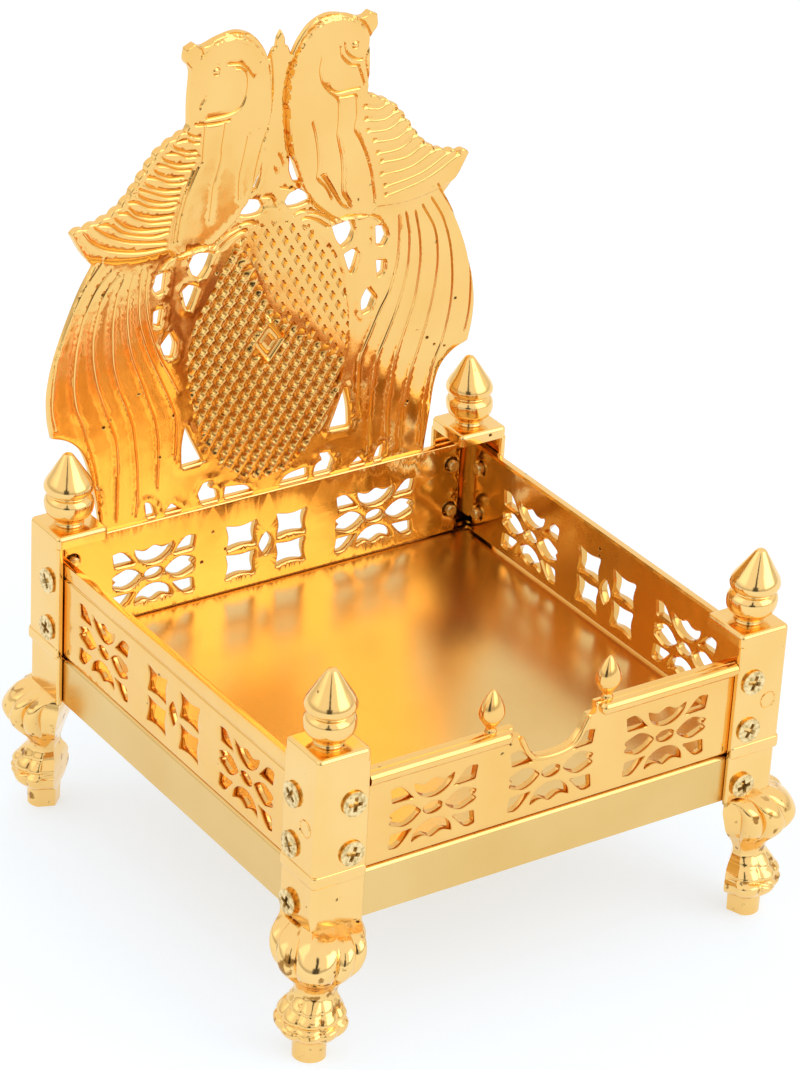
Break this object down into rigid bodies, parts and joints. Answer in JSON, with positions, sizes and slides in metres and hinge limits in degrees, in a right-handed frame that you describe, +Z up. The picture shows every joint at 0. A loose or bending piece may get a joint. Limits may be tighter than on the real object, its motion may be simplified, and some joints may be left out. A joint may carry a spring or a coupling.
{
  "type": "deity simhasan throne",
  "caption": "Small gilt throne for a household shrine idol: openwork peacock back, pierced rails round a flat seat, and lion-paw cabriole legs.",
  "frame": {"origin": "on the ground, under the middle of the square seat", "axes": "+Z up, -Y towards the open front with the dipped rail, +Y towards the peacock back, +X to the right seen from the front"},
  "size_m": [0.1144, 0.1144, 0.1536],
  "materials": {
    "gilt_casting": "bright gold plate over a cast surface",
    "satin_tray": "satin sheet",
    "zinc_screw": "yellowed zinc plate"
  },
  "bodies": {
    "root": {"post_front_left": "gilt_casting", "post_front_right": "gilt_casting", "post_back_right": "gilt_casting", "post_back_left": "gilt_casting", "front_rail": "gilt_casting", "left_rail": "gilt_casting", "right_rail": "gilt_casting", "peacock_back": "gilt_casting", "seat_tray": "satin_tray", "screw_front_left_left_rail_top": "zinc_screw", "screw_front_left_left_rail_low": "zinc_screw", "screw_front_left_tray": "zinc_screw", "screw_front_left_front_rail_top": "zinc_screw", "screw_front_left_front_rail_low": "zinc_screw", "screw_front_right_front_rail_top": "zinc_screw", "screw_front_right_front_rail_low": "zinc_screw", "screw_front_right_tray": "zinc_screw", "screw_front_right_right_rail_top": "zinc_screw", "screw_front_right_right_rail_low": "zinc_screw", "screw_back_right_right_rail_top": "zinc_screw", "screw_back_right_right_rail_low": "zinc_screw", "screw_back_right_tray": "zinc_screw", "screw_back_right_back_top": "zinc_screw", "screw_back_right_back_low": "zinc_screw", "screw_back_left_back_top": "zinc_screw", "screw_back_left_back_low": "zinc_screw", "screw_back_left_tray": "zinc_screw", "screw_back_left_left_rail_top": "zinc_screw", "screw_back_left_left_rail_low": "zinc_screw"}
  },
  "joints": []
}
